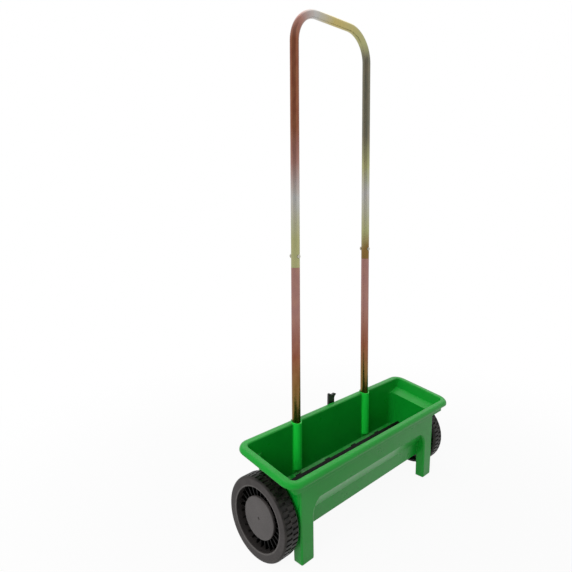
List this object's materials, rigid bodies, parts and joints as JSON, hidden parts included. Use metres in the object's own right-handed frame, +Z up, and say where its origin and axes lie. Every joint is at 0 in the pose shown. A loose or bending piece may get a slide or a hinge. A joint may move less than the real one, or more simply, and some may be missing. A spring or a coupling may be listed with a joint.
{
  "type": "garden drop spreader",
  "caption": "Push-along garden drop spreader: long open hopper on two wheels and two front legs, turning agitator, lever-set shutter and a tall U-shaped tube handle.",
  "frame": {"origin": "on the ground, under the middle of the whole part's bounding box", "axes": "+Z up; +X along the wheel axle, to the right seen from the front; +Y to the rear, towards the person who pushes it"},
  "size_m": [0.573, 0.181, 1.091],
  "materials": {
    "hopper_plastic": "satin",
    "axle_steel": "satin",
    "agitator_plastic": "matte",
    "bush_plastic": "matte",
    "wheel_plastic": "matte",
    "cap_plastic": "satin",
    "screw_steel": "satin",
    "bolt_steel": "satin",
    "shutter_plastic": "satin",
    "rail_plastic": "satin",
    "lever_plastic": "satin",
    "scale_plastic": "matte",
    "tube_left": "satin",
    "tube_right": "satin",
    "tube_upper": "satin",
    "stand_wire": "satin"
  },
  "bodies": {
    "frame": {"hopper": "hopper_plastic", "bush_left": "bush_plastic", "bush_right": "bush_plastic", "shutter_rail_front": "rail_plastic", "shutter_rail_rear_left": "rail_plastic", "shutter_rail_rear_right": "rail_plastic", "rail_screws": "screw_steel", "lever_screw": "screw_steel", "lever_washer": "screw_steel", "scale_plate": "scale_plastic", "scale_screws": "screw_steel", "tube_lower_left": "tube_left", "tube_lower_right": "tube_right", "handle_upper": "tube_upper", "joint_bolts": "bolt_steel", "joint_nuts": "bolt_steel", "socket_screws": "screw_steel"},
    "drive": {"axle": "axle_steel", "agitator_1": "agitator_plastic", "agitator_2": "agitator_plastic", "agitator_3": "agitator_plastic", "agitator_4": "agitator_plastic", "agitator_pins": "axle_steel", "washer_left": "axle_steel", "washers_right": "axle_steel", "wheel_left": "wheel_plastic", "hub_cap_left": "cap_plastic", "drive_pin_left": "axle_steel", "split_pin_right": "axle_steel"},
    "right_wheel": {"wheel_right": "wheel_plastic", "hub_cap_right": "cap_plastic"},
    "lever": {"flow_lever": "lever_plastic"},
    "gate": {"shutter": "shutter_plastic", "shutter_pin": "screw_steel"},
    "stand": {"prop_stand": "stand_wire"}
  },
  "joints": [
    {"name": "axle_spin", "type": "hinge", "parent": "frame", "child": "drive", "pos_m": [0, 0.00954, 0.081], "axis": [1, 0, 0], "continuous": true},
    {"name": "right_wheel_spin", "type": "hinge", "parent": "drive", "child": "right_wheel", "pos_m": [0, 0.00954, 0.081], "axis": [1, 0, 0], "continuous": true},
    {"name": "lever_swing", "type": "hinge", "parent": "frame", "child": "lever", "pos_m": [0.012, 0.07729, 0.1], "axis": [0, -1, 0], "range_deg": [0, 11.85]},
    {"name": "shutter_slide", "type": "slide", "parent": "frame", "child": "gate", "axis": [1, 0, 0], "range_m": [0, 0.012]},
    {"name": "stand_fold", "type": "hinge", "parent": "frame", "child": "stand", "pos_m": [0, 0.05854, 0.026], "axis": [1, 0, 0], "range_deg": [-90, 0]}
  ],
  "couplings": [
    {"joint": "shutter_slide", "follows": "lever_swing", "m_per_rad": 0.058}
  ]
}
